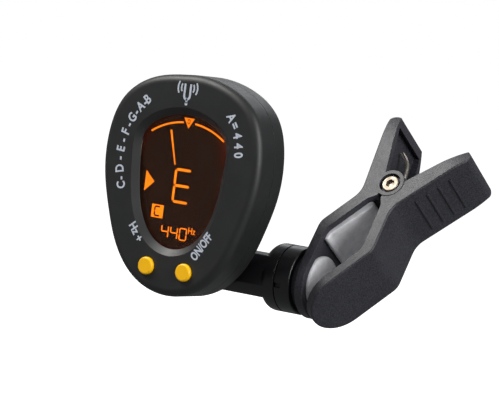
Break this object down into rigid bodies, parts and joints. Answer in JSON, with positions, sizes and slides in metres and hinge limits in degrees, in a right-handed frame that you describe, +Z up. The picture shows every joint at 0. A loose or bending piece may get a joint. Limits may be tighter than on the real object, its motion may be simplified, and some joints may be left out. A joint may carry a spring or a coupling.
{
  "type": "clip on tuner",
  "caption": "Clip on instrument tuner: lit display head with push buttons on a hinged arm, swivelling on a sprung two jaw clip with soft pads.",
  "frame": {"origin": "on the barrel axis, at the face of the rear jaw tip pad, where the headstock rests", "axes": "+X along the barrel axis and square to the rear tip pad, from the head to the clip; -Y the way the display faces at rest; +Z up, along the head"},
  "size_m": [0.0849, 0.0537, 0.0576],
  "materials": {
    "shell_front": "satin moulded ABS, black",
    "shell_rear": "satin moulded ABS, black",
    "lens": "clear acrylic window",
    "display_glass": "display glass, dark brown with lit orange segments",
    "white_plastic": "white moulded plastic",
    "diffuser": "milky acrylic",
    "led": "clear epoxy over an amber chip",
    "silicone_strip": "layered silicone",
    "board": "green solder mask on glass fibre",
    "chip": "black moulded epoxy",
    "switch_body": "black plastic under a steel dome",
    "brass": "plain brass",
    "cell_steel": "nickel plated steel",
    "contact_steel": "spring steel, nickel plated",
    "black_screw": "black zinc",
    "screw_steel": "zinc plated steel",
    "button": "satin yellow plastic",
    "arm_plastic": "polished black nylon",
    "pin_steel": "nickel plated steel",
    "washer_plastic": "natural acetal",
    "jaw_plastic": "fine textured black ABS",
    "pad_rubber": "satin grey rubber",
    "spring_steel": "nickel plated spring wire",
    "face_print": "pale grey printed ink",
    "display_segments": "lit amber segments of the display"
  },
  "bodies": {
    "clip": {"rear_jaw": "jaw_plastic", "swivel_disc": "arm_plastic", "friction_washer": "washer_plastic", "wave_washer": "contact_steel", "rear_mid_pad": "pad_rubber", "rear_tip_pad": "pad_rubber", "pivot_sleeve": "pin_steel", "pivot_screw": "pin_steel", "torsion_spring_rear": "spring_steel"},
    "front_jaw": {"front_jaw": "jaw_plastic", "front_mid_pad": "pad_rubber", "front_tip_pad": "pad_rubber", "torsion_spring_front": "spring_steel"},
    "arm": {"arm": "arm_plastic", "barrel_screw": "screw_steel", "hinge_pin": "pin_steel", "hinge_washers": "washer_plastic"},
    "head": {"front_shell": "shell_front", "rear_shell": "shell_rear", "display_lens": "lens", "display_panel": "display_glass", "display_frame": "white_plastic", "backlight_diffuser": "diffuser", "backlight_leds": "led", "contact_strip": "silicone_strip", "circuit_board": "board", "controller_chip": "chip", "tact_switches": "switch_body", "piezo_pickup": "brass", "coin_cell": "cell_steel", "battery_contact_minus": "contact_steel", "battery_contact_plus": "contact_steel", "case_screws": "black_screw", "board_screws": "screw_steel"},
    "pitch_button": {"pitch_button": "button"},
    "mode_button": {"mode_button": "button"},
    "battery_cover": {"battery_cover": "shell_rear"}
  },
  "joints": [
    {"name": "jaw_pivot", "type": "hinge", "parent": "clip", "child": "front_jaw", "pos_m": [0.011, 0.01422, 0.02224], "axis": [0, -0.8425, 0.5388], "range_deg": [0, 32], "stiffness_Nm_per_rad": 0.5, "springref_deg": -22.92},
    {"name": "barrel_swivel", "type": "hinge", "parent": "clip", "child": "arm", "pos_m": [-0.0095, 0, 0], "axis": [1, 0, 0], "continuous": true},
    {"name": "head_tilt", "type": "hinge", "parent": "arm", "child": "head", "pos_m": [-0.0328, 0, 0], "axis": [0, 0, -1], "range_deg": [0, 100]},
    {"name": "pitch_button_press", "type": "slide", "parent": "head", "child": "pitch_button", "axis": [0, 1, 0], "range_m": [0, 0.0004], "stiffness_N_per_m": 400, "springref_m": -0.0005},
    {"name": "mode_button_press", "type": "slide", "parent": "head", "child": "mode_button", "axis": [0, 1, 0], "range_m": [0, 0.0004], "stiffness_N_per_m": 400, "springref_m": -0.0005},
    {"name": "battery_cover_lift", "type": "slide", "parent": "head", "child": "battery_cover", "axis": [0, 1, 0], "range_m": [0, 0.012]}
  ]
}
